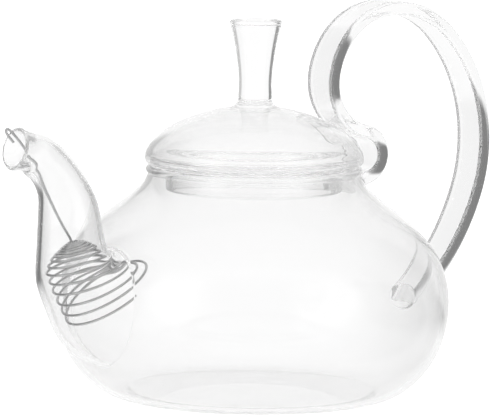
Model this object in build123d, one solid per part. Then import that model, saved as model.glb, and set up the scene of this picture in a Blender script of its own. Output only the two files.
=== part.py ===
from build123d import *
import math
import os

# Glass teapot with a lift-out spring strainer. Millimetres, +Z up.
# Origin: centre of the flat base. The spout points along -X, the handle lies on +X,
# and XZ is the plane of symmetry of the glass.

# ---- driving dimensions ----
GLASS = 2.0  # wall of the blown body
BASE_RADIUS = 41.0  # flat disc that the pot stands on
FLOOR = 2.6  # thickness of the floor
RIM_HEIGHT = 78.3
RIM_OUTER = 36.4
NECK_OUTER = 35.6
NECK_HEIGHT = 75.6
NECK_INNER = 33.3
RIM_SWELL = 1.4  # how far above the neck the rim is widest
RIM_FLAT_OUT = 0.6  # flat on top of the rim, either side of its middle
RIM_FLAT_IN = 0.4
RIM_ROUND = 0.9  # drop of the rounded inner edge
RIM_ROUND_IN = 0.3
FLOOR_EDGE = 2.0  # from the base's edge in to where the floor starts inside
# outside of the body from the base's edge up to the neck: (radius, height)
BODY_OUTLINE = [
    (48.5, 1.7),
    (55.5, 6.4),
    (60.8, 12.8),
    (64.3, 20.5),
    (66.0, 29.5),
    (65.6, 38.5),
    (62.9, 46.8),
    (58.2, 53.8),
    (51.9, 60.0),
    (45.2, 65.2),
    (40.2, 69.2),
    (36.9, 72.7),
]

SPOUT_WALL = 1.6
# spout: centre (x, z), heading of the bore in degrees from +X, outer radius
SPOUT_STATIONS = [
    (-51.5, 34.2, 159.0, 21.8),
    (-60.0, 37.2, 152.0, 21.0),
    (-67.6, 42.0, 137.0, 16.5),
    (-72.2, 48.3, 114.0, 13.6),
    (-74.0, 56.0, 99.0, 11.4),
    (-74.9, 66.0, 99.5, 10.3),
    (-76.6, 72.9, 110.0, 9.0),
    (-79.2, 78.0, 124.0, 8.0),
    (-83.5, 83.2, 138.0, 7.4),
    (-88.6, 86.7, 155.0, 7.0),
    (-93.7, 88.4, 166.0, 6.8),
]
# fire-polished roll round the mouth
LIP_LENGTH = 2.8
LIP_WALL = 1.1
LIP_FLARE = 0.35
LIP_ROUND = 0.7
BORE_PAST_MOUTH = 5.0

LID_GAP = 0.25  # between the lid's flange and the pot's rim
LID_WALL = 2.0
LID_RADIUS = 36.8
LID_APEX = 98.1  # height of the dome's crown, where the knob stands
LID_EDGE = 2.6  # height of the rounded outer edge above the flange's underside
LID_CURL = (2.4, 0.7, 0.75)  # rounded edge: its width, and its middle's inset and height
LID_CURL_INSIDE = (5.8, 0.35, 0.3)  # the same inside, from the collar's opening
# outside of the dome from the knob's seat down to the flange: (radius, height)
DOME_OUTLINE = [
    (13.5, 96.9),
    (20.3, 94.9),
    (26.2, 92.4),
    (31.1, 89.3),
    (34.6, 85.8),
    (36.3, 83.2),
]
COLLAR_OUTER = 29.5
COLLAR_WALL = 1.9
COLLAR_BOTTOM = 69.4
COLLAR_ROUND = 0.9  # height of the collar's rounded lower edge

KNOB_FOOT = 6.9
KNOB_TOP = 127.4
KNOB_SEAT = 0.6  # flat of the dome outside the knob's foot
KNOB_ROLL = (0.2, 0.25, 0.75)  # top edge: its inset, and its middle's swell and drop
# side of the knob between its foot and its top rim: (radius, height)
KNOB_OUTLINE = [(6.1, 99.5), (5.7, 101.8), (5.55, 106.0), (5.95, 112.0), (7.25, 120.0), (8.7, 126.0)]

HANDLE_WIDTH = 13.8
HANDLE_THICKNESS = 4.6
HANDLE_CORNER = 1.3  # rounding of the bar's four long edges
HANDLE_START = (44.4, 72.75)
HANDLE_HEADING = 20.8
HANDLE_ROOT_RUN = 3.5
# tangent arcs of the handle's centre line: (radius, degrees), plus turns left
HANDLE_ARCS = [
    (8.0, 149.2),
    (-17.4, 90.6),
    (-25.7, 70.9),
    (-32.0, 53.2),
    (-53.1, 65.2),
    (-81.1, 30.8),
]
# gather of glass that fuses each end of the handle: centre (x, z), tilt, half sizes
ROOT_BEAD = (40.4, 71.2, -48.0, (4.2, 7.4, 2.6))
FOOT_BEAD = (65.5, 29.8, 82.0, (5.0, 7.6, 1.9))

WIRE = 0.85  # diameter of the strainer's wire
# strainer coil: turn, centre x, centre z, tilt towards the spout in degrees, radius
COIL_STATIONS = [
    (0.0, -73.4, 56.9, 18.0, 1.5),
    (3.0, -72.9, 55.9, 18.0, 4.1),
    (6.0, -72.4, 53.6, 14.0, 7.6),
    (8.0, -72.0, 49.8, 13.0, 10.0),
    (10.0, -67.9, 45.2, 19.0, 11.9),
    (12.0, -62.0, 41.2, 29.0, 14.9),
    (13.0, -59.4, 40.0, 33.0, 16.3),
    (13.6, -58.0, 38.8, 35.0, 17.2),
]
COIL_POINTS_PER_TURN = 10
COIL_PHASE = 0.1  # where round the coil the first turn starts, in turns
COIL_LEAN = 6.0  # of the coil's axis to +Y, in degrees
STEM_SPLIT = 0.35  # share of the straight run above the coil that belongs to the coil's piece
# stem from the coil's top to the hook that sticks out of the mouth: (x, z)
STEM_ROUTE = [(-78.7, 64.8), (-84.2, 75.8), (-90.5, 87.0), (-99.0, 96.4)]
HOOK_TAIL = [(-100.1, 94.6), (-96.8, 91.2)]

os.makedirs("parts", exist_ok=True)


# ---- helpers ----
def plane_point(x, z):
    """A point of the plane of symmetry."""
    return Vector(x, 0, z)


def inset(points, distance):
    """The points of an outline moved sideways, towards its right-hand side when positive."""
    moved = []
    for i, (x, z) in enumerate(points):
        x0, z0 = points[max(i - 1, 0)]
        x1, z1 = points[min(i + 1, len(points) - 1)]
        run = math.hypot(x1 - x0, z1 - z0)
        moved.append((x - distance * (z1 - z0) / run, z + distance * (x1 - x0) / run))
    return moved


def revolved(edges):
    """The solid that a closed outline in the XZ plane sweeps round the Z axis."""
    return revolve(make_face(Wire(edges)), Axis.Z, 360)


def straight(*points):
    """Straight edges through points given as (radius, height)."""
    vectors = [plane_point(x, z) for x, z in points]
    return [Line(a, b) for a, b in zip(vectors[:-1], vectors[1:])]


def smooth(points):
    """One smooth edge through points given as (radius, height)."""
    return [Spline(*[plane_point(x, z) for x, z in points])]


# ---- body ----
def body_outline():
    """Outside of the pot from the base's edge to the neck, as points."""
    return [(BASE_RADIUS, 0.0)] + BODY_OUTLINE + [(NECK_OUTER, NECK_HEIGHT)]


def body_envelope():
    """The pot as if it were solid glass up to its neck."""
    edges = straight((NECK_OUTER, NECK_HEIGHT), (0, NECK_HEIGHT), (0, 0), (BASE_RADIUS, 0))
    return revolved(smooth(body_outline()) + edges)


def pot_body():
    """Blown body: floor, belly, shoulder, neck and fire-polished rim."""
    inner_start = (BASE_RADIUS - FLOOR_EDGE, FLOOR)
    inner_end = (NECK_INNER, NECK_HEIGHT)
    inner_wall = smooth([inner_start] + inset(body_outline(), GLASS)[1:-1] + [inner_end])
    rim_middle = (NECK_INNER + RIM_OUTER) / 2
    flat_outside = plane_point(rim_middle + RIM_FLAT_OUT, RIM_HEIGHT)
    flat_inside = plane_point(rim_middle - RIM_FLAT_IN, RIM_HEIGHT)
    rim = [
        ThreePointArc(
            plane_point(NECK_OUTER, NECK_HEIGHT),
            plane_point(RIM_OUTER, NECK_HEIGHT + RIM_SWELL),
            flat_outside,
        ),
        Line(flat_outside, flat_inside),
        ThreePointArc(
            flat_inside,
            plane_point(NECK_INNER + RIM_ROUND_IN, RIM_HEIGHT - RIM_ROUND),
            plane_point(NECK_INNER, NECK_HEIGHT),
        ),
    ]
    floor = straight(inner_start, (0, FLOOR), (0, 0), (BASE_RADIUS, 0))
    shell = revolved(smooth(body_outline()) + rim + inner_wall + floor)
    return shell - spout_bore()


# ---- spout ----
def spout_section(station, ahead, radius):
    """A round section square to the spout's centre line, moved ahead along it."""
    x, z, heading, _ = station
    forward = plane_point(math.cos(math.radians(heading)), math.sin(math.radians(heading)))
    return Plane(plane_point(x, z) + forward * ahead, x_dir=(0, 1, 0), z_dir=forward) * Circle(radius)


def spout_outside():
    """The spout as if it were solid glass, with its mouth rolled over."""
    sections = [spout_section(station, 0.0, station[3]) for station in SPOUT_STATIONS]
    sections.append(spout_section(SPOUT_STATIONS[-1], LIP_LENGTH, SPOUT_STATIONS[-1][3] + LIP_FLARE))
    solid = loft(sections)
    mouth = solid.faces().filter_by(GeomType.PLANE).sort_by(Axis.X)[0]
    return fillet(mouth.edges(), LIP_ROUND)


def spout_bore():
    """The passage inside the spout, from inside the pot to past the mouth."""
    sections = [spout_section(station, 0.0, station[3] - SPOUT_WALL) for station in SPOUT_STATIONS[:-1]]
    mouth = SPOUT_STATIONS[-1]
    for ahead in (0.0, BORE_PAST_MOUTH):
        sections.append(spout_section(mouth, ahead, mouth[3] - LIP_WALL))
    return loft(sections)


def spout():
    """Swan-neck spout, fused to the belly round its root."""
    return spout_outside() - spout_bore() - body_envelope()


# ---- handle ----
def handle_path():
    """Centre line of the handle: a straight root and a chain of tangent arcs."""
    heading = math.radians(HANDLE_HEADING)
    x, z = HANDLE_START
    root = (x - HANDLE_ROOT_RUN * math.cos(heading), z - HANDLE_ROOT_RUN * math.sin(heading))
    edges = [Line(plane_point(*root), plane_point(x, z))]
    for radius, degrees in HANDLE_ARCS:
        side = 1 if radius > 0 else -1
        size = abs(radius)
        centre = (x - side * size * math.sin(heading), z + side * size * math.cos(heading))
        points = []
        for share in (0.5, 1.0):
            turned = heading + side * math.radians(degrees) * share
            across = (side * size * math.sin(turned), -side * size * math.cos(turned))
            points.append((centre[0] + across[0], centre[1] + across[1]))
        edges.append(ThreePointArc(plane_point(x, z), plane_point(*points[0]), plane_point(*points[1])))
        heading += side * math.radians(degrees)
        x, z = points[1]
    return Wire(edges)


def bead_envelope(bead):
    """A gather of glass: a flattened ball laid against the body."""
    x, z, tilt, (along, across, out) = bead
    ball = scale(Sphere(1.0), by=(along, across, out))
    return Pos(x, 0, z) * Rot(0, -tilt, 0) * ball


def bead(which):
    """One gather of glass, where it stands out of the body."""
    return bead_envelope(which) - body_envelope()


def handle():
    """Flat bar that hooks over the lid, loops back and runs down to the belly."""
    path = handle_path()
    start = path @ 0
    section_plane = Plane(start, x_dir=(0, 1, 0), z_dir=path % 0)
    section = section_plane * RectangleRounded(HANDLE_WIDTH, HANDLE_THICKNESS, HANDLE_CORNER)
    bar = sweep(section, path=path)
    return bar - body_envelope() - bead_envelope(ROOT_BEAD) - bead_envelope(FOOT_BEAD)


# ---- lid ----
def lid_dome():
    """Domed lid with a rounded edge that turns under into a flat flange."""
    seat = (KNOB_FOOT + KNOB_SEAT, LID_APEX)
    flange = RIM_HEIGHT + LID_GAP
    edge_height = flange + LID_EDGE
    curl, curl_inset, curl_height = LID_CURL
    inside_curl, inside_inset, inside_height = LID_CURL_INSIDE
    outline = [seat] + DOME_OUTLINE + [(LID_RADIUS, edge_height)]
    inner = inset(outline, -LID_WALL)
    inner_edge = (LID_RADIUS - LID_WALL, edge_height + inside_height)
    inner_flange = flange + LID_WALL
    opening = COLLAR_OUTER - COLLAR_WALL
    outer_curl = ThreePointArc(
        plane_point(LID_RADIUS, edge_height),
        plane_point(LID_RADIUS - curl_inset, flange + curl_height),
        plane_point(LID_RADIUS - curl, flange),
    )
    inner_curl = ThreePointArc(
        plane_point(opening + inside_curl, inner_flange),
        plane_point(inner_edge[0] - inside_inset, inner_flange + inside_height),
        plane_point(*inner_edge),
    )
    edges = smooth(outline) + [outer_curl]
    edges += straight((LID_RADIUS - curl, flange), (opening, flange), (opening, inner_flange))
    edges += straight((opening, inner_flange), (opening + inside_curl, inner_flange)) + [inner_curl]
    inner_points = [inner_edge] + inner[-2:0:-1] + [(seat[0], LID_APEX - LID_WALL)]
    edges += smooth(inner_points)
    edges += straight((seat[0], LID_APEX - LID_WALL), (0, LID_APEX - LID_WALL), (0, LID_APEX), seat)
    return revolved(edges)


def lid_collar():
    """Short sleeve under the flange that keeps the lid in the neck."""
    top = RIM_HEIGHT + LID_GAP
    inside = COLLAR_OUTER - COLLAR_WALL
    middle = (COLLAR_OUTER + inside) / 2
    edges = straight((COLLAR_OUTER, COLLAR_BOTTOM + COLLAR_ROUND), (COLLAR_OUTER, top), (inside, top))
    edges += straight((inside, top), (inside, COLLAR_BOTTOM + COLLAR_ROUND))
    edges.append(
        ThreePointArc(
            plane_point(inside, COLLAR_BOTTOM + COLLAR_ROUND),
            plane_point(middle, COLLAR_BOTTOM),
            plane_point(COLLAR_OUTER, COLLAR_BOTTOM + COLLAR_ROUND),
        )
    )
    return revolved(edges)


def lid_knob():
    """Solid trumpet-shaped knob."""
    roll_inset, roll_swell, roll_drop = KNOB_ROLL
    top_edge = (KNOB_OUTLINE[-1][0] - roll_inset, KNOB_TOP)
    side = smooth([(KNOB_FOOT, LID_APEX)] + KNOB_OUTLINE)
    roll = ThreePointArc(
        plane_point(*KNOB_OUTLINE[-1]),
        plane_point(KNOB_OUTLINE[-1][0] + roll_swell, KNOB_TOP - roll_drop),
        plane_point(*top_edge),
    )
    cap = straight(top_edge, (0, KNOB_TOP), (0, LID_APEX), (KNOB_FOOT, LID_APEX))
    return revolved(side + [roll] + cap)


# ---- strainer ----
def between(stations, turn):
    """The values at one turn of the coil, in proportion between its two stations."""
    for low, high in zip(stations[:-1], stations[1:]):
        if turn <= high[0]:
            share = (turn - low[0]) / (high[0] - low[0])
            return [a + (b - a) * share for a, b in zip(low[1:], high[1:])]
    return list(stations[-1][1:])


def coil_points():
    """Corners of the polygon that the coil's wire follows."""
    last = COIL_STATIONS[-1][0]
    count = round(last * COIL_POINTS_PER_TURN)
    points = []
    for i in range(count + 1):
        turn = last * i / count
        x, z, tilt, radius = between(COIL_STATIONS, turn)
        axis = Vector(0, 0, 1).rotate(Axis.X, -COIL_LEAN).rotate(Axis.Y, -tilt)
        level = Plane(plane_point(x, z), x_dir=(0, 1, 0), z_dir=axis)
        angle = 2 * math.pi * (turn - COIL_PHASE)
        points.append(level.from_local_coords(Vector(radius * math.cos(angle), radius * math.sin(angle))))
    return points


def wire_path(points):
    """Straight runs joined by arcs that each take 0.45 of the shorter of their two runs."""
    radii = []
    for a, b, c in zip(points[:-2], points[1:-1], points[2:]):
        turn = math.radians((b - a).get_angle(c - b))
        shorter = min((b - a).length, (c - b).length)
        radii.append(0.45 * shorter / math.tan(turn / 2))
    return FilletPolyline(*points, radius=radii)


def wire(points):
    """Round wire along a path."""
    path = wire_path(points)
    section = Plane(path @ 0, z_dir=path % 0) * Circle(WIRE / 2)
    return sweep(section, path=path)


def wire_split(coil_start):
    """The point of the straight run above the coil where its piece ends."""
    return coil_start + (plane_point(*STEM_ROUTE[0]) - coil_start) * STEM_SPLIT


def strainer_coil():
    """Beehive coil that fills the root of the spout."""
    points = coil_points()
    return wire([wire_split(points[0])] + points)


def strainer_stem():
    """Straight end of the same wire, with a hook at the mouth to pull it out by."""
    route = [plane_point(x, z) for x, z in STEM_ROUTE + HOOK_TAIL]
    return wire([wire_split(coil_points()[0])] + route)


def build():
    """Every piece of the teapot, by name."""
    return {
        "pot_body": pot_body(),
        "spout": spout(),
        "handle": handle(),
        "handle_root_bead": bead(ROOT_BEAD),
        "handle_foot_bead": bead(FOOT_BEAD),
        "lid_dome": lid_dome(),
        "lid_collar": lid_collar(),
        "lid_knob": lid_knob(),
        "strainer_coil": strainer_coil(),
        "strainer_stem": strainer_stem(),
    }


for name, shape in build().items():
    export_step(shape, f"parts/{name}.step")
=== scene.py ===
import math

import bmesh
import bpy
import numpy as np
from mathutils import Matrix, Vector


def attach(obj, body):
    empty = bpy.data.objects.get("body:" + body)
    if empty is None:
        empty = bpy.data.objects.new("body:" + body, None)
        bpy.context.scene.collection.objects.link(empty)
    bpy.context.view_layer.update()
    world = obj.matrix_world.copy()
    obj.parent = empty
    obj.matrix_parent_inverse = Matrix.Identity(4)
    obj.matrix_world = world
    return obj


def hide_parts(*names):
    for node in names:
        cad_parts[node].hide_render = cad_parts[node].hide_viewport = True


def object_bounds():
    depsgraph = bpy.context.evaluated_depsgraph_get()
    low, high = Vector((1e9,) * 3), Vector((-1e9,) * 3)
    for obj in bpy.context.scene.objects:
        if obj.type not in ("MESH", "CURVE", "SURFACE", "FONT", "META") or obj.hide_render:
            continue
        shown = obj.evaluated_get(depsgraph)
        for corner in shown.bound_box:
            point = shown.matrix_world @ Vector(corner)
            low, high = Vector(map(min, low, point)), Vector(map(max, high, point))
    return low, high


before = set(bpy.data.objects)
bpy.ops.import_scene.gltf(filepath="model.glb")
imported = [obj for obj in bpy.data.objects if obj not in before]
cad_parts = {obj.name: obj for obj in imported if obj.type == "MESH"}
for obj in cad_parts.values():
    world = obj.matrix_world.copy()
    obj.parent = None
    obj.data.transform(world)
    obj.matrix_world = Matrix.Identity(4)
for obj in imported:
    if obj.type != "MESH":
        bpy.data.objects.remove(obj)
cad_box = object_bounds()

MM = 0.001

# ---------------------------------------------------------------- sizes, in millimetres
BASE_RADIUS = 41.0
FLOOR = 2.6
FLOOR_EDGE = 2.0
GLASS = 2.0
NECK_OUTER = 35.6
NECK_INNER = 33.3
NECK_HEIGHT = 75.6
RIM_HEIGHT = 78.3
# outlines are (radius, height): up the body's outside, then over its rim to the inside
BODY_OUTLINE = [
    (48.5, 1.7),
    (55.5, 6.4),
    (60.8, 12.8),
    (64.3, 20.5),
    (66.0, 29.5),
    (65.6, 38.5),
    (62.9, 46.8),
    (58.2, 53.8),
    (51.9, 60.0),
    (45.2, 65.2),
    (40.2, 69.2),
    (36.9, 72.7),
]
RIM_OUTLINE = [
    (NECK_OUTER, NECK_HEIGHT),
    (36.1, NECK_HEIGHT + 0.6),
    (36.4, NECK_HEIGHT + 1.4),
    (36.1, NECK_HEIGHT + 2.2),
    (35.4, RIM_HEIGHT - 0.05),
    (34.7, RIM_HEIGHT),
    (34.0, RIM_HEIGHT - 0.35),
    (33.5, RIM_HEIGHT - 1.1),
    (NECK_INNER, NECK_HEIGHT),
]
CORE_BOTTOM = 1.3

SPOUT_WALL = 1.6
# centre x, centre z, heading in degrees from +X, outer radius
SPOUT_STATIONS = [
    (-51.5, 34.2, 159.0, 21.8),
    (-60.0, 37.2, 152.0, 21.0),
    (-67.6, 42.0, 137.0, 16.5),
    (-72.2, 48.3, 114.0, 13.6),
    (-74.0, 56.0, 99.0, 11.4),
    (-74.9, 66.0, 99.5, 10.3),
    (-76.6, 72.9, 110.0, 9.0),
    (-79.2, 78.0, 124.0, 8.0),
    (-83.5, 83.2, 138.0, 7.4),
    (-88.6, 86.7, 155.0, 7.0),
    (-93.7, 88.4, 166.0, 6.8),
]
LIP_LENGTH = 2.8
LIP_WALL = 1.1
LIP_FLARE = 0.35
LIP_ROUND = 0.7
# past the last station: distance, growth of the bore
BORE_FLARE = [(1.6, 0.0), (2.8, 0.3), (4.2, 1.1)]

# the lid's outlines run from the knob's top down to the flange, round the collar and back to the axis
FLANGE = 78.55
LID_RADIUS = 36.8
LID_EDGE = FLANGE + 2.6
LID_APEX = 98.1
LID_WALL = 2.0
CROWN_RADIUS = 7.5
COLLAR_OUTER = 29.5
COLLAR_INNER = 27.6
COLLAR_BOTTOM = 69.4
SHELF = FLANGE + 2.0
KNOB_TOP = 127.4
KNOB_FLAT = [
    (0.0, KNOB_TOP),
    (4.0, KNOB_TOP),
    (7.6, KNOB_TOP - 0.02),
]
KNOB_BRIM = [
    KNOB_FLAT[-1],
    (8.4, KNOB_TOP - 0.2),
    (8.85, KNOB_TOP - 0.7),
    (8.7, KNOB_TOP - 1.4),
]
KNOB_SIDE = [
    KNOB_BRIM[-1],
    (7.25, 120.0),
    (5.95, 112.0),
    (5.55, 106.0),
    (5.7, 101.8),
    (6.1, 99.5),
    (6.9, 98.6),
    (8.2, 98.0),
]
DOME_OUTLINE = [
    (13.5, 96.9),
    (20.3, 94.9),
    (26.2, 92.4),
    (31.1, 89.3),
    (34.6, 85.8),
    (36.3, 83.2),
]
FLANGE_CURL = [
    (LID_RADIUS, LID_EDGE),
    (36.7, FLANGE + 1.6),
    (36.1, FLANGE + 0.7),
    (35.2, FLANGE + 0.15),
    (34.2, FLANGE),
]
FLANGE_UNDER = [
    (33.0, FLANGE),
    (31.5, FLANGE),
    (COLLAR_OUTER + 0.5, FLANGE),
]
COLLAR_OUTSIDE = [
    (COLLAR_OUTER + 0.1, FLANGE - 0.25),
    (COLLAR_OUTER, FLANGE - 0.8),
    (COLLAR_OUTER, COLLAR_BOTTOM + 0.9),
]
COLLAR_INSIDE = [
    (COLLAR_INNER, 71.5),
    (COLLAR_INNER, 75.0),
    (COLLAR_INNER, FLANGE + 1.2),
]
SHELF_OUTLINE = [
    COLLAR_INSIDE[-1],
    (28.3, SHELF - 0.1),
    (30.0, SHELF),
    (33.4, SHELF),
]
FOLD_OUTLINE = [
    SHELF_OUTLINE[-1],
    (34.3, SHELF + 0.2),
    (34.75, SHELF + 0.9),
]
CEILING_APEX = [
    (CROWN_RADIUS, LID_APEX - LID_WALL),
    (0.0, LID_APEX - LID_WALL - 0.05),
]

HANDLE_WIDTH = 13.8
HANDLE_THICKNESS = 4.6
HANDLE_CORNER = 1.3
HANDLE_START = (44.4, 72.75)
HANDLE_HEADING = 20.8
HANDLE_ROOT_RUN = 3.5
# radius, negative where it turns clockwise, and degrees turned
HANDLE_ARCS = [
    (8.0, 149.2),
    (-17.4, 90.6),
    (-25.7, 70.9),
    (-32.0, 53.2),
    (-53.1, 65.2),
    (-81.1, 30.8),
]
# centre x, centre z, tilt in degrees, half sizes (along, wide, out)
ROOT_BEAD = (40.4, 71.2, -48.0, (4.2, 7.4, 2.6))
FOOT_BEAD = (65.5, 29.8, 82.0, (5.0, 7.6, 1.9))

WIRE = 0.85
# turn, centre x, centre z, tilt towards the spout in degrees, radius
COIL_STATIONS = [
    (0.0, -73.4, 56.9, 18.0, 1.5),
    (3.0, -72.9, 55.9, 18.0, 4.1),
    (6.0, -72.4, 53.6, 14.0, 7.6),
    (8.0, -72.0, 49.8, 13.0, 10.0),
    (10.0, -67.9, 45.2, 19.0, 11.9),
    (12.0, -62.0, 41.2, 29.0, 14.9),
    (13.0, -59.4, 40.0, 33.0, 16.3),
    (13.6, -58.0, 38.8, 35.0, 17.2),
]
COIL_PHASE = 0.1
COIL_LEAN = 6.0
# rows of the coil: the stem eases over every third one from the first of these, up to the second
EASE_FROM = 5
EASE_TO = 14
STEM_ROUTE = [(-78.7, 64.8), (-84.2, 75.8), (-90.5, 87.0), (-99.0, 96.4)]
HOOK_TAIL = [(-100.1, 94.6), (-96.8, 91.2)]

# how finely the skins are cut
TURNED_SEGMENTS = 320
SPOUT_SEGMENTS = 144
WALL_ROWS = 150
BORE_ROWS = 160
DOME_ROWS = 90
RIM_ROWS = 40
FLOOR_ROWS = 30
BRIM_ROWS = 16
CURL_ROWS = 20
SMALL_ROWS = 12
ROLL_ROWS = 14
CORNER_ROWS = 13
HANDLE_STEP = 0.8
COIL_STEPS = 48
WIRE_SIDES = 16


# ---------------------------------------------------------------- curves
def spline(points, count):
    """Natural cubic spline through points, as count rows evenly spaced along it."""
    p = np.array(points, float)
    gaps = np.linalg.norm(np.diff(p, axis=0), axis=1)
    t = np.concatenate([[0.0], np.cumsum(gaps)])
    n = len(p)
    matrix = np.zeros((n, n))
    right = np.zeros_like(p)
    matrix[0, 0] = matrix[-1, -1] = 1.0
    for i in range(1, n - 1):
        a, b = t[i] - t[i - 1], t[i + 1] - t[i]
        matrix[i, i - 1 : i + 2] = a, 2.0 * (a + b), b
        right[i] = 6.0 * ((p[i + 1] - p[i]) / b - (p[i] - p[i - 1]) / a)
    curve = np.linalg.solve(matrix, right)
    at = np.linspace(0.0, t[-1], count)
    k = np.clip(np.searchsorted(t, at, side="right") - 1, 0, n - 2)
    h = (t[k + 1] - t[k])[:, None]
    low = (t[k + 1] - at)[:, None]
    high = (at - t[k])[:, None]
    rows = curve[k] * low**3 / (6 * h) + curve[k + 1] * high**3 / (6 * h)
    rows += (p[k] / h - curve[k] * h / 6) * low + (p[k + 1] / h - curve[k + 1] * h / 6) * high
    return rows


def arc(centre, radius, start, end, count):
    """Points of an arc between two angles in degrees."""
    a = np.radians(np.linspace(start, end, count))
    return np.stack([centre[0] + radius * np.cos(a), centre[1] + radius * np.sin(a)], 1)


def inset(points, distance):
    """An outline moved sideways, towards its left when it climbs."""
    p = np.array(points, float)
    run = np.gradient(p, axis=0)
    run /= np.linalg.norm(run, axis=1)[:, None]
    return p + distance * np.stack([-run[:, 1], run[:, 0]], 1)


def chain(*pieces):
    """Outline pieces joined end to end, with doubled points dropped."""
    rows = np.concatenate([np.array(piece, float) for piece in pieces])
    keep = [0]
    for i in range(1, len(rows)):
        if np.linalg.norm(rows[i] - rows[keep[-1]]) > 0.02:
            keep.append(i)
    return rows[keep]


# ---------------------------------------------------------------- meshes
def new_object(name, verts, faces):
    """A mesh object in the scene from corners in metres."""
    mesh = bpy.data.meshes.new(name)
    mesh.from_pydata([tuple(v) for v in verts], [], faces)
    mesh.update()
    obj = bpy.data.objects.new(name, mesh)
    bpy.context.scene.collection.objects.link(obj)
    return obj


def orient(obj):
    """Merges doubled corners and turns every face outwards."""
    bm = bmesh.new()
    bm.from_mesh(obj.data)
    bmesh.ops.remove_doubles(bm, verts=bm.verts, dist=1e-7)
    bmesh.ops.recalc_face_normals(bm, faces=bm.faces)
    bm.to_mesh(obj.data)
    bm.free()


def turned(name, outline):
    """A solid of revolution about Z from an outline that starts and ends on the axis."""
    rows = np.array(outline, float) * MM
    inner = rows[1:-1]
    segments = TURNED_SEGMENTS
    turn = np.linspace(0.0, 2 * math.pi, segments, endpoint=False)
    ring = np.stack([np.cos(turn), np.sin(turn)], 1)
    verts = [(0.0, 0.0, rows[0, 1])]
    for r, z in inner:
        verts += [(r * c, r * s, z) for c, s in ring]
    verts.append((0.0, 0.0, rows[-1, 1]))
    faces = []
    last = len(verts) - 1
    top = 1 + (len(inner) - 1) * segments
    for i in range(segments):
        j = (i + 1) % segments
        faces.append((0, 1 + j, 1 + i))
        faces.append((last, top + i, top + j))
        for k in range(len(inner) - 1):
            a, b = 1 + k * segments, 1 + (k + 1) * segments
            faces.append((a + i, a + j, b + j, b + i))
    obj = new_object(name, verts, faces)
    orient(obj)
    return obj


def tube(name, rings):
    """A solid through rings of points, closed with a fan at each end."""
    count, size = rings.shape[:2]
    verts = list(rings.reshape(-1, 3))
    faces = []
    for k in range(count - 1):
        a, b = k * size, (k + 1) * size
        for i in range(size):
            j = (i + 1) % size
            faces.append((a + i, a + j, b + j, b + i))
    for k, flip in ((0, True), (count - 1, False)):
        verts.append(rings[k].mean(0))
        hub = len(verts) - 1
        for i in range(size):
            j = (i + 1) % size
            edge = (k * size + j, k * size + i) if flip else (k * size + i, k * size + j)
            faces.append((hub,) + edge)
    obj = new_object(name, verts, faces)
    orient(obj)
    return obj


def boolean(target, tool, operation):
    """Joins or cuts two closed solids, then drops the tool."""
    step = target.modifiers.new("step", "BOOLEAN")
    step.operation = operation
    step.solver = "MANIFOLD"
    step.object = tool
    graph = bpy.context.evaluated_depsgraph_get()
    mesh = bpy.data.meshes.new_from_object(target.evaluated_get(graph))
    target.modifiers.clear()
    old = target.data
    target.data = mesh
    bpy.data.meshes.remove(old)
    bpy.data.objects.remove(tool)


def smooth_shade(obj, degrees):
    """Smooth shading that keeps creases sharper than an angle in degrees."""
    obj.data.polygons.foreach_set("use_smooth", [True] * len(obj.data.polygons))
    obj.data.set_sharp_from_angle(angle=math.radians(degrees))
    obj.data.update()


# ---------------------------------------------------------------- blown body
WALL_OUTLINE = [(BASE_RADIUS, 0.0)] + BODY_OUTLINE + [(NECK_OUTER, NECK_HEIGHT)]


def pot_shell():
    """Floor, belly, neck and fire-polished rim in one closed skin."""
    floor_radius = BASE_RADIUS - FLOOR_EDGE
    under = [(across, 0.0) for across in np.linspace(0.0, BASE_RADIUS, FLOOR_ROWS)]
    outside = spline(WALL_OUTLINE, WALL_ROWS)
    rim = spline(RIM_OUTLINE, RIM_ROWS)
    walls = list(inset(WALL_OUTLINE, GLASS)[1:-1])
    inside = spline([(floor_radius, FLOOR)] + walls + [(NECK_INNER, NECK_HEIGHT)], WALL_ROWS)[::-1]
    floor = [(across, FLOOR) for across in np.linspace(floor_radius, 0.0, FLOOR_ROWS)]
    return turned("pot_glass", chain(under, outside, rim, inside, floor))


def pot_core():
    """The middle of the body's wall as a solid: what is fused on is trimmed back to it."""
    middle = inset(spline(WALL_OUTLINE, WALL_ROWS), GLASS / 2)
    return turned("core", chain([(0.0, CORE_BOTTOM)], middle, [(0.0, middle[-1][1])]))


# ---------------------------------------------------------------- spout
def spout_rings(change, extra, count):
    """Rings along the swan neck, each radius changed by a length, then extra (distance, growth)."""
    stations = [(x, z, heading, radius + change) for x, z, heading, radius in SPOUT_STATIONS]
    x, z, heading, radius = stations[-1]
    turn = math.radians(heading)
    for ahead, more in extra:
        onward = (x + ahead * math.cos(turn), z + ahead * math.sin(turn))
        stations.append((*onward, heading, radius + more))
    around = np.linspace(0.0, 2 * math.pi, SPOUT_SEGMENTS, endpoint=False)
    aside, above = np.cos(around)[:, None], np.sin(around)[:, None]
    side = np.array([0.0, 1.0, 0.0])
    rings = np.zeros((count, SPOUT_SEGMENTS, 3))
    for k, (x, z, heading, radius) in enumerate(spline(stations, count)):
        turn = math.radians(heading)
        up = np.array([-math.sin(turn), 0.0, math.cos(turn)])
        rings[k] = np.array([x, 0.0, z]) + radius * (aside * side + above * up)
    return rings * MM


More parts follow.
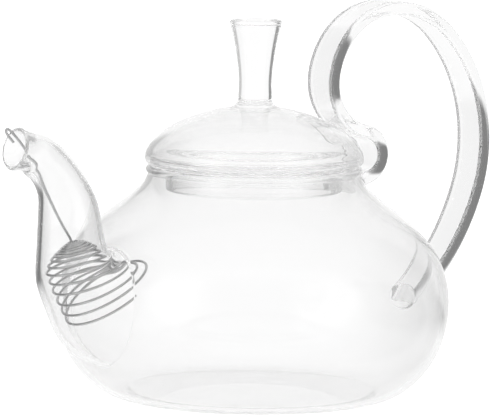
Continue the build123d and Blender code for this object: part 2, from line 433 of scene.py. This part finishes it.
def rolled_end(rings, amount, count):
    """Rounds the last ring over: the tube's end turns in along a quarter circle."""
    last = rings[-1]
    middle = last.mean(0)
    forward = np.cross(last[0] - middle, last[len(last) // 4] - middle)
    forward /= np.linalg.norm(forward)
    if np.dot(forward, rings[-1].mean(0) - rings[-2].mean(0)) < 0:
        forward = -forward
    extra = []
    size = np.linalg.norm(last - middle, axis=1).mean()
    for a in np.radians(np.linspace(0.0, 90.0, count)[1:]):
        shrink = 1.0 - amount * MM * (1.0 - math.cos(a)) / size
        extra.append(middle + (last - middle) * shrink + forward * amount * MM * math.sin(a))
    return np.concatenate([rings, np.array(extra)])


def spout_outside():
    """The spout as a full solid with a rounded lip."""
    rings = spout_rings(0.0, [(LIP_LENGTH - LIP_ROUND, LIP_FLARE)], WALL_ROWS)
    return tube("spout_outside", rolled_end(rings, LIP_ROUND, SMALL_ROWS))


def spout_bore():
    """The way through the spout: the wall thins towards the lip, and the tool runs out past it."""
    flare = [(ahead, SPOUT_WALL - LIP_WALL + growth) for ahead, growth in BORE_FLARE]
    return tube("spout_bore", spout_rings(-SPOUT_WALL, flare, BORE_ROWS))


# ---------------------------------------------------------------- handle
def handle_line():
    """Centre line and heading of the handle, as (x, z, heading in radians)."""
    heading = math.radians(HANDLE_HEADING)
    x, z = HANDLE_START
    back = (x - HANDLE_ROOT_RUN * math.cos(heading), z - HANDLE_ROOT_RUN * math.sin(heading))
    rows = [(*back, heading)]
    for radius, degrees in HANDLE_ARCS:
        side = 1.0 if radius > 0 else -1.0
        size = abs(radius)
        centre = (x - side * size * math.sin(heading), z + side * size * math.cos(heading))
        steps = max(8, int(size * math.radians(degrees) / HANDLE_STEP))
        for k in range(steps + 1):
            turned_by = heading + side * math.radians(degrees) * k / steps
            px = centre[0] + side * size * math.sin(turned_by)
            pz = centre[1] - side * size * math.cos(turned_by)
            if k or len(rows) == 1:
                rows.append((px, pz, turned_by))
        heading += side * math.radians(degrees)
        x, z = rows[-1][:2]
    return rows


def bar_section():
    """Flat section with rounded corners: (across, thick) in millimetres."""
    wide = HANDLE_WIDTH / 2 - HANDLE_CORNER
    deep = HANDLE_THICKNESS / 2 - HANDLE_CORNER
    corners = []
    for quarter, (right, up) in enumerate(((1, 1), (-1, 1), (-1, -1), (1, -1))):
        start = 90.0 * quarter
        centre = (right * wide, up * deep)
        corners.append(arc(centre, HANDLE_CORNER, start, start + 90.0, CORNER_ROWS))
    outline = np.concatenate(corners)
    return outline[:, 0], outline[:, 1]


def handle_bar():
    """The flat section swept along the handle's line."""
    line = handle_line()
    across, thick = bar_section()
    side = np.array([0.0, 1.0, 0.0])
    rings = np.zeros((len(line), len(across), 3))
    for k, (x, z, heading) in enumerate(line):
        up = np.array([-math.sin(heading), 0.0, math.cos(heading)])
        rings[k] = np.array([x, 0.0, z]) + across[:, None] * side + thick[:, None] * up
    return tube("handle_bar", rings * MM)


def bead(spec, name):
    """Flattened ball of glass, tilted about Y."""
    x, z, tilt, half_sizes = spec
    bm = bmesh.new()
    bmesh.ops.create_icosphere(bm, subdivisions=5, radius=1.0)
    stretch = Matrix.Diagonal((*[half * MM for half in half_sizes], 1.0))
    tipped = Matrix.Rotation(-math.radians(tilt), 4, "Y")
    place = Matrix.Translation((x * MM, 0, z * MM)) @ tipped @ stretch
    bmesh.ops.transform(bm, matrix=place, verts=bm.verts)
    mesh = bpy.data.meshes.new(name)
    bm.to_mesh(mesh)
    bm.free()
    obj = bpy.data.objects.new(name, mesh)
    bpy.context.scene.collection.objects.link(obj)
    return obj


# ---------------------------------------------------------------- lid
def lid_outside():
    """From the knob's top down over the dome to the flange's underside."""
    brim = spline(KNOB_BRIM, BRIM_ROWS)
    side = spline(KNOB_SIDE, DOME_ROWS)
    dome = spline([KNOB_SIDE[-1]] + DOME_OUTLINE + [(LID_RADIUS, LID_EDGE)], DOME_ROWS)
    curl = spline(FLANGE_CURL, CURL_ROWS)
    return chain(KNOB_FLAT, brim, side, dome, curl, FLANGE_UNDER)


def lid_inside():
    """Round the collar and up under the dome to the axis."""
    middle = (COLLAR_OUTER + COLLAR_INNER) / 2
    half = (COLLAR_OUTER - COLLAR_INNER) / 2
    roll = arc((middle, COLLAR_BOTTOM + half), half, 0.0, -180.0, ROLL_ROWS)
    shelf = spline(SHELF_OUTLINE, SMALL_ROWS)
    full = [(CROWN_RADIUS, LID_APEX)] + DOME_OUTLINE + [(LID_RADIUS, LID_EDGE)]
    under_dome = list(inset(full, -LID_WALL)[1:-1][::-1])
    fold = spline(FOLD_OUTLINE + under_dome[:1], SMALL_ROWS)
    ceiling = spline(under_dome + CEILING_APEX, DOME_ROWS)
    return chain(COLLAR_OUTSIDE, roll, COLLAR_INSIDE, shelf, fold, ceiling)


def lid_glass():
    """Knob, dome, flange and collar as one turned skin."""
    return turned("lid_glass", chain(lid_outside(), lid_inside()))


# ---------------------------------------------------------------- strainer
def coil_line(per_turn):
    """Centre line of the coil, from the smallest turn down to the widest."""
    last = COIL_STATIONS[-1][0]
    turns, *columns = np.array(COIL_STATIONS).T
    lean = math.radians(COIL_LEAN)
    count = int(last * per_turn)
    rows = []
    for k in range(count + 1):
        turn = last * k / count
        x, z, tilt, radius = [float(np.interp(turn, turns, column)) for column in columns]
        tip = math.radians(tilt)
        axis = Vector((-math.sin(tip) * math.cos(lean), math.sin(lean), math.cos(tip) * math.cos(lean)))
        first = (Vector((0, 1, 0)) - axis * axis.y).normalized()
        second = axis.cross(first)
        angle = 2 * math.pi * (turn - COIL_PHASE)
        rows.append(Vector((x, 0, z)) + radius * (math.cos(angle) * first + math.sin(angle) * second))
    return rows


def rounded_line(points, rounds):
    """Corner cutting: a polyline made smooth, with its ends kept."""
    rows = np.array(points, float)
    for _ in range(rounds):
        a, b = rows[:-1], rows[1:]
        cut = np.stack([a * 0.75 + b * 0.25, a * 0.25 + b * 0.75], 1).reshape(-1, 3)
        rows = np.concatenate([rows[:1], cut, rows[-1:]])
    return rows


def wire_tube(name, line, radius):
    """Round wire along a line, with a frame that doesn't twist."""
    line = np.array(line)
    run = np.gradient(line, axis=0)
    run /= np.linalg.norm(run, axis=1)[:, None]
    normal = np.cross(run[0], [0.0, 1.0, 0.0])
    around = np.linspace(0.0, 2 * math.pi, WIRE_SIDES, endpoint=False)
    aside, above = np.cos(around)[:, None], np.sin(around)[:, None]
    rings = np.zeros((len(line), WIRE_SIDES, 3))
    for k in range(len(line)):
        normal = normal - run[k] * np.dot(normal, run[k])
        normal /= np.linalg.norm(normal)
        other = np.cross(run[k], normal)
        rings[k] = line[k] + radius * (aside * normal + above * other)
    return tube(name, rings * MM)


def strainer_wire():
    """Hook, stem and coil as one length of wire; the stem eases into the coil's first turn."""
    coil = coil_line(COIL_STEPS)
    route = [Vector((x, 0, z)) for x, z in STEM_ROUTE + HOOK_TAIL][::-1]
    stem = rounded_line(route + [coil[0]] + coil[EASE_FROM:EASE_TO:3], 4)
    line = np.concatenate([stem, np.array(coil[EASE_TO:], float)])
    return wire_tube("strainer_wire", line, WIRE / 2)


# ---------------------------------------------------------------- build the pieces
def fused_pot():
    """Body, spout, handle and both gathers of glass as the one piece that they are when fused."""
    pot = pot_shell()
    for piece in (spout_outside(), handle_bar(), bead(ROOT_BEAD, "root"), bead(FOOT_BEAD, "foot")):
        boolean(piece, pot_core(), "DIFFERENCE")
        boolean(pot, piece, "UNION")
    boolean(pot, spout_bore(), "DIFFERENCE")
    return pot


pot = fused_pot()
lid = lid_glass()
wire = strainer_wire()
smooth_shade(pot, 32.0)
smooth_shade(lid, 50.0)
smooth_shade(wire, 60.0)

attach(pot, "pot")
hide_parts("pot_body", "spout", "handle", "handle_root_bead", "handle_foot_bead")
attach(lid, "lid")
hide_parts("lid_dome", "lid_collar", "lid_knob")
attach(wire, "strainer")
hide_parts("strainer_coil", "strainer_stem")


# ---------------------------------------------------------------- materials
def nodes_of(name):
    """A new material and its emptied node tree."""
    material = bpy.data.materials.new(name)
    material.use_nodes = True
    tree = material.node_tree
    tree.nodes.clear()
    return material, tree


def add(tree, kind, values=None, **settings):
    """A node with its settings, and its sockets' constants by name or number."""
    node = tree.nodes.new(kind)
    for key, value in settings.items():
        setattr(node, key, value)
    for key, value in (values or {}).items():
        node.inputs[key].default_value = value
    return node


GLASS_IOR = 1.47
FACE_TINT = (0.988, 0.988, 0.988, 1)
EDGE_TINT = (0.85, 0.85, 0.85, 1)
# Inside a thick rim a ray is thrown to and fro more often than it may be followed, and
# would end black. So most rays that were last mirrored leave the glass straight.
STRAIGHT_OUT = 0.65


def glass_material(name, ripple):
    """Clear glass, slightly rippled, greyer where it is seen along its surface."""
    material, tree = nodes_of(name)
    link = tree.links.new
    out = add(tree, "ShaderNodeOutputMaterial")
    place = add(tree, "ShaderNodeTexCoord")
    waves = add(tree, "ShaderNodeTexNoise", {"Scale": 38.0, "Detail": 1.5, "Roughness": 0.45})
    link(place.outputs["Object"], waves.inputs["Vector"])
    bump = add(tree, "ShaderNodeBump", {"Strength": ripple, "Distance": 0.0008})
    link(waves.outputs["Fac"], bump.inputs["Height"])
    edge = add(tree, "ShaderNodeLayerWeight", {"Blend": 0.35})
    tint = add(tree, "ShaderNodeValToRGB")
    tint.color_ramp.elements[0].color = FACE_TINT
    tint.color_ramp.elements[1].color = EDGE_TINT
    tint.color_ramp.elements[1].position = 0.95
    link(edge.outputs["Facing"], tint.inputs["Fac"])
    glass = add(
        tree,
        "ShaderNodeBsdfPrincipled",
        {"Roughness": 0.0, "IOR": GLASS_IOR, "Transmission Weight": 1.0, "Metallic": 0.0},
    )
    link(tint.outputs["Color"], glass.inputs["Base Color"])
    link(bump.outputs["Normal"], glass.inputs["Normal"])
    path = add(tree, "ShaderNodeLightPath")
    straight = add(tree, "ShaderNodeBsdfTransparent", {"Color": (0.95, 0.95, 0.95, 1)})
    some = add(tree, "ShaderNodeMixShader", {"Fac": STRAIGHT_OUT})
    link(glass.outputs["BSDF"], some.inputs[1])
    link(straight.outputs["BSDF"], some.inputs[2])
    mirrored = add(tree, "ShaderNodeMixShader")
    link(path.outputs["Is Reflection Ray"], mirrored.inputs["Fac"])
    link(glass.outputs["BSDF"], mirrored.inputs[1])
    link(some.outputs["Shader"], mirrored.inputs[2])
    clear = add(tree, "ShaderNodeBsdfTransparent", {"Color": (0.93, 0.93, 0.93, 1)})
    mix = add(tree, "ShaderNodeMixShader")
    link(path.outputs["Is Shadow Ray"], mix.inputs["Fac"])
    link(mirrored.outputs["Shader"], mix.inputs[1])
    link(clear.outputs["BSDF"], mix.inputs[2])
    link(mix.outputs["Shader"], out.inputs["Surface"])
    return material


def steel_material():
    """Drawn stainless wire with a fine grain."""
    material, tree = nodes_of("drawn_steel_wire")
    link = tree.links.new
    out = add(tree, "ShaderNodeOutputMaterial")
    place = add(tree, "ShaderNodeTexCoord")
    grain = add(tree, "ShaderNodeTexNoise", {"Scale": 2600.0, "Detail": 3.0})
    link(place.outputs["Object"], grain.inputs["Vector"])
    shade = add(tree, "ShaderNodeValToRGB")
    shade.color_ramp.elements[0].color = (0.34, 0.34, 0.345, 1)
    shade.color_ramp.elements[1].color = (0.62, 0.62, 0.62, 1)
    link(grain.outputs["Fac"], shade.inputs["Fac"])
    rough = add(tree, "ShaderNodeMapRange", {"To Min": 0.22, "To Max": 0.42})
    link(grain.outputs["Fac"], rough.inputs["Value"])
    steel = add(tree, "ShaderNodeBsdfPrincipled", {"Metallic": 1.0})
    link(shade.outputs["Color"], steel.inputs["Base Color"])
    link(rough.outputs["Result"], steel.inputs["Roughness"])
    link(steel.outputs["BSDF"], out.inputs["Surface"])
    return material


def wear(obj, material):
    """Gives an object one material in place of any that it has."""
    obj.data.materials.clear()
    obj.data.materials.append(material)


wear(pot, glass_material("blown_borosilicate_body", 0.10))
wear(lid, glass_material("blown_borosilicate_lid", 0.08))
wear(wire, steel_material())
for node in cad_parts.values():
    wear(node, pot.data.materials[0])


# ---------------------------------------------------------------- camera, in metres, its lens in millimetres
VIEW_ANGLE = math.radians(36.0)
DISTANCE = 1.9
CAMERA_HEIGHT = 0.290
AIM_ASIDE = -0.00285
AIM_HEIGHT = 0.06357
ROLL = math.radians(0.75)
LENS = 418.78
SENSOR = 36.0
AWAY = Vector((math.sin(VIEW_ANGLE), math.cos(VIEW_ANGLE), 0))
RIGHT = Vector((math.cos(VIEW_ANGLE), -math.sin(VIEW_ANGLE), 0))
UP = Vector((0, 0, 1))


def make_camera():
    """A long lens from the front and the spout's side, rolled by less than a degree."""
    eye = UP * CAMERA_HEIGHT - AWAY * DISTANCE
    forward = (RIGHT * AIM_ASIDE + UP * AIM_HEIGHT - eye).normalized()
    level = forward.cross(UP).normalized()
    upright = level.cross(forward)
    side = level * math.cos(ROLL) + upright * math.sin(ROLL)
    rise = upright * math.cos(ROLL) - level * math.sin(ROLL)
    data = bpy.data.cameras.new("view")
    data.sensor_fit = "HORIZONTAL"
    data.sensor_width = SENSOR
    data.lens = LENS
    data.clip_end = 50.0
    camera = bpy.data.objects.new("view", data)
    bpy.context.scene.collection.objects.link(camera)
    turn = Matrix((side, rise, -forward)).transposed()
    camera.matrix_world = Matrix.Translation(eye) @ turn.to_4x4()
    bpy.context.scene.camera = camera


make_camera()


# ---------------------------------------------------------------- studio
BACKLIGHT = 1.03
LEFT_FLAG = 0.22
RIGHT_FLAG = 0.60
# heights of the sky, as the sine of the angle up, between which it turns white
SKY_TURNS_WHITE = 0.55
SKY_WHITE = 0.80
# distances in metres from the pot's middle between which the table, as seen through the glass, turns from
# the backlight's white to a painted shade of the flags' grey
TABLE_WHITE = 0.12
TABLE_FLAGGED = 0.22
TABLE_HALF = 4.0
TABLE_GAP = 0.0002
# brightness round the pot by angle from straight behind it, in degrees, positive to the right
FIELD = [
    (-180, 0.80),
    (-150, 0.85),
    (-142, 1.25),
    (-116, 1.25),
    (-106, 0.50),
    (-98, LEFT_FLAG),
    (-45, LEFT_FLAG),
    (-39, BACKLIGHT),
    (39, BACKLIGHT),
    (45, RIGHT_FLAG),
    (98, RIGHT_FLAG),
    (106, 0.50),
    (116, 1.15),
    (150, 1.15),
    (160, 0.80),
    (180, 0.80),
]


def field_colour(tree, place):
    """Brightness of the studio in the direction of a vector, as a colour socket."""
    link = tree.links.new
    turn = add(tree, "ShaderNodeMath", operation="ARCTAN2")
    for slot, axis in enumerate((RIGHT, AWAY)):
        dot = add(tree, "ShaderNodeVectorMath", {1: axis}, operation="DOT_PRODUCT")
        link(place, dot.inputs[0])
        link(dot.outputs["Value"], turn.inputs[slot])
    span = add(tree, "ShaderNodeMapRange", {"From Min": -math.pi, "From Max": math.pi})
    link(turn.outputs["Value"], span.inputs["Value"])
    around = add(tree, "ShaderNodeValToRGB")
    ramp = around.color_ramp
    while len(ramp.elements) < len(FIELD):
        ramp.elements.new(0.5)
    for element, (degrees, value) in zip(ramp.elements, FIELD):
        element.position = (degrees + 180.0) / 360.0
        element.color = (value, value, value, 1)
    link(span.outputs["Result"], around.inputs["Fac"])
    return around.outputs["Color"]


def sky():
    """Bright field behind the pot, darker flags at both sides, softboxes and a dimmer room in front."""
    world = bpy.data.worlds.new("studio")
    bpy.context.scene.world = world
    world.use_nodes = True
    tree = world.node_tree
    tree.nodes.clear()
    link = tree.links.new
    out = add(tree, "ShaderNodeOutputWorld")
    place = add(tree, "ShaderNodeTexCoord")
    split = add(tree, "ShaderNodeSeparateXYZ")
    link(place.outputs["Generated"], split.inputs["Vector"])
    height = add(tree, "ShaderNodeMapRange", {"From Min": SKY_TURNS_WHITE, "From Max": SKY_WHITE})
    link(split.outputs["Z"], height.inputs["Value"])
    top = add(tree, "ShaderNodeMix", {"B": (1.0, 1.0, 1.0, 1)}, data_type="RGBA")
    link(height.outputs["Result"], top.inputs["Factor"])
    link(field_colour(tree, place.outputs["Generated"]), top.inputs["A"])
    room = add(tree, "ShaderNodeBackground", {"Strength": 1.0})
    link(top.outputs["Result"], room.inputs["Color"])
    white = add(tree, "ShaderNodeBackground", {"Color": (1, 1, 1, 1), "Strength": 1.05})
    path = add(tree, "ShaderNodeLightPath")
    mix = add(tree, "ShaderNodeMixShader")
    link(path.outputs["Is Camera Ray"], mix.inputs["Fac"])
    link(room.outputs["Background"], mix.inputs[1])
    link(white.outputs["Background"], mix.inputs[2])
    link(mix.outputs["Shader"], out.inputs["Surface"])


def table():
    """White table to the camera; seen through the glass it glows with painted shade, darker at the sides
    under the flags.
    """
    material, tree = nodes_of("white_table_painted_shade")
    link = tree.links.new
    out = add(tree, "ShaderNodeOutputMaterial")
    paper = add(
        tree,
        "ShaderNodeBsdfPrincipled",
        {
            "Base Color": (0.92, 0.92, 0.92, 1),
            "Roughness": 0.9,
            "Specular IOR Level": 0.0,
            "Emission Color": (1, 1, 1, 1),
            "Emission Strength": 0.5,
        },
    )
    place = add(tree, "ShaderNodeTexCoord")
    far = add(tree, "ShaderNodeVectorMath", operation="LENGTH")
    link(place.outputs["Object"], far.inputs[0])
    reach = add(tree, "ShaderNodeMapRange", {"From Min": TABLE_WHITE, "From Max": TABLE_FLAGGED})
    link(far.outputs["Value"], reach.inputs["Value"])
    shade = add(tree, "ShaderNodeMix", {"A": (BACKLIGHT, BACKLIGHT, BACKLIGHT, 1)}, data_type="RGBA")
    link(reach.outputs["Result"], shade.inputs["Factor"])
    link(field_colour(tree, place.outputs["Object"]), shade.inputs["B"])
    # painted shade: rays through the glass see the table glow, turning to the flags' grey away from the pot
    painted_shade_glow = add(tree, "ShaderNodeEmission", {"Strength": 1.0})
    link(shade.outputs["Result"], painted_shade_glow.inputs["Color"])
    path = add(tree, "ShaderNodeLightPath")
    mix = add(tree, "ShaderNodeMixShader")
    link(path.outputs["Is Camera Ray"], mix.inputs["Fac"])
    link(painted_shade_glow.outputs["Emission"], mix.inputs[1])
    link(paper.outputs["BSDF"], mix.inputs[2])
    link(mix.outputs["Shader"], out.inputs["Surface"])
    low = cad_box[0][2] - TABLE_GAP
    corners = [(x * TABLE_HALF, y * TABLE_HALF, low) for x, y in ((-1, -1), (1, -1), (1, 1), (-1, 1))]
    ground = new_object("white_floor", corners, [(0, 1, 2, 3)])
    wear(ground, material)


sky()
table()
bpy.context.scene.view_settings.view_transform = "Standard"
